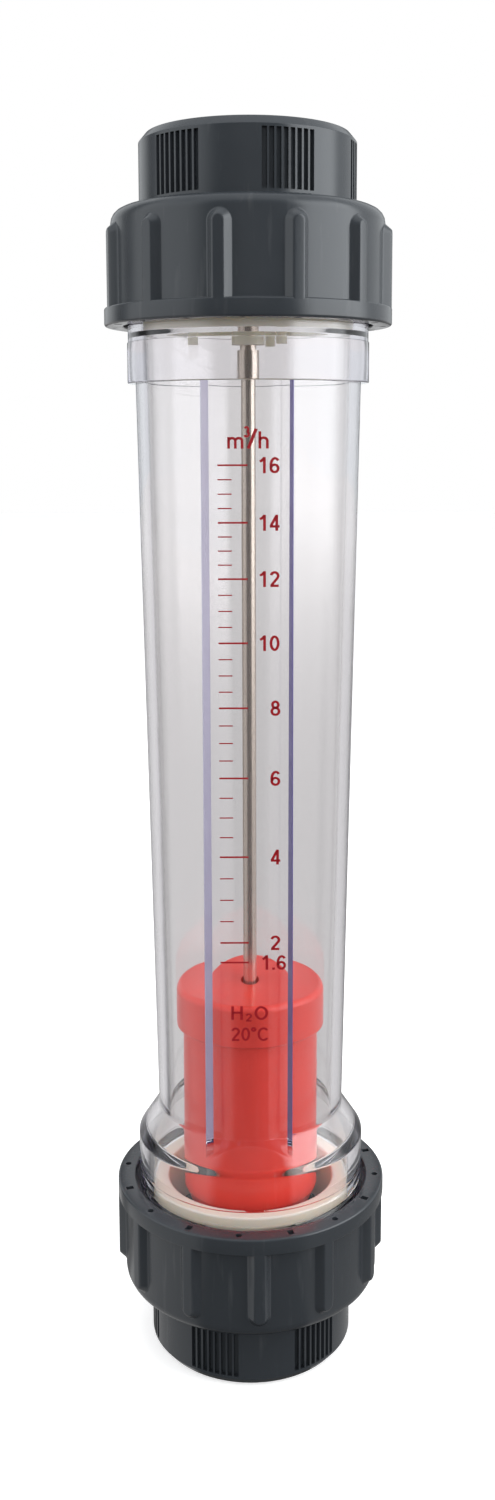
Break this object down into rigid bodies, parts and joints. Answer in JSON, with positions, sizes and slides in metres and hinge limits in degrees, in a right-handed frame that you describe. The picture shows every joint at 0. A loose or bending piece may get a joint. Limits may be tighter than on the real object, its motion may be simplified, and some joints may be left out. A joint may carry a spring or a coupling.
{
  "type": "rotameter",
  "caption": "Variable-area flow meter: clear tapered tube with a flat scale, a weighted float on a guide rod, and a ribbed union connector with a pipe socket at each end.",
  "frame": {"origin": "centre of the lower connector's end face, on the surface that the meter stands on", "axes": "+Z along the tube's axis, up the flow; the scale faces -Y"},
  "size_m": [0.104, 0.104, 0.459],
  "materials": {
    "clear_tube": "polished clear moulding",
    "spider_plastic": "cream moulded plastic",
    "rod_steel": "polished stainless steel",
    "float_red": "glossy moulded plastic",
    "ballast_steel": "turned steel",
    "bush_plastic": "machined white plastic",
    "fastener_steel": "stainless steel",
    "grey_pvc": "satin moulded plastic with a fine grain",
    "seal_rubber": "moulded rubber"
  },
  "bodies": {
    "tube": {"flow_tube": "clear_tube", "upper_spider": "spider_plastic", "lower_spider": "spider_plastic", "guide_rod": "rod_steel", "upper_rod_washer": "fastener_steel", "upper_lock_washer": "fastener_steel", "upper_rod_nut": "fastener_steel", "lower_rod_nut": "fastener_steel"},
    "float": {"float_head": "float_red", "float_body": "float_red", "float_ballast": "ballast_steel", "float_upper_bush": "bush_plastic", "float_lower_bush": "bush_plastic"},
    "upper_tail": {"upper_connector": "grey_pvc", "upper_o_ring": "seal_rubber"},
    "upper_nut": {"upper_union_nut": "grey_pvc"},
    "lower_tail": {"lower_connector": "grey_pvc", "lower_o_ring": "seal_rubber"},
    "lower_nut": {"lower_union_nut": "grey_pvc"}
  },
  "joints": [
    {"name": "float_slide", "type": "slide", "parent": "tube", "child": "float", "axis": [0, 0, 1], "range_m": [0, 0.238]},
    {"name": "upper_tail_slide", "type": "slide", "parent": "tube", "child": "upper_tail", "axis": [0, 0, 1], "range_m": [0, 0.016]},
    {"name": "upper_nut_turn", "type": "hinge", "parent": "upper_tail", "child": "upper_nut", "pos_m": [0, 0, 0.41], "axis": [0, 0, 1], "range_deg": [0, 1440]},
    {"name": "lower_tail_slide", "type": "slide", "parent": "tube", "child": "lower_tail", "axis": [0, 0, -1], "range_m": [0, 0.016]},
    {"name": "lower_nut_turn", "type": "hinge", "parent": "lower_tail", "child": "lower_nut", "pos_m": [0, 0, 0.05], "axis": [0, 0, -1], "range_deg": [0, 1440]}
  ],
  "couplings": [
    {"joint": "upper_tail_slide", "follows": "upper_nut_turn", "m_per_rad": 0.0006366},
    {"joint": "lower_tail_slide", "follows": "lower_nut_turn", "m_per_rad": 0.0006366}
  ]
}
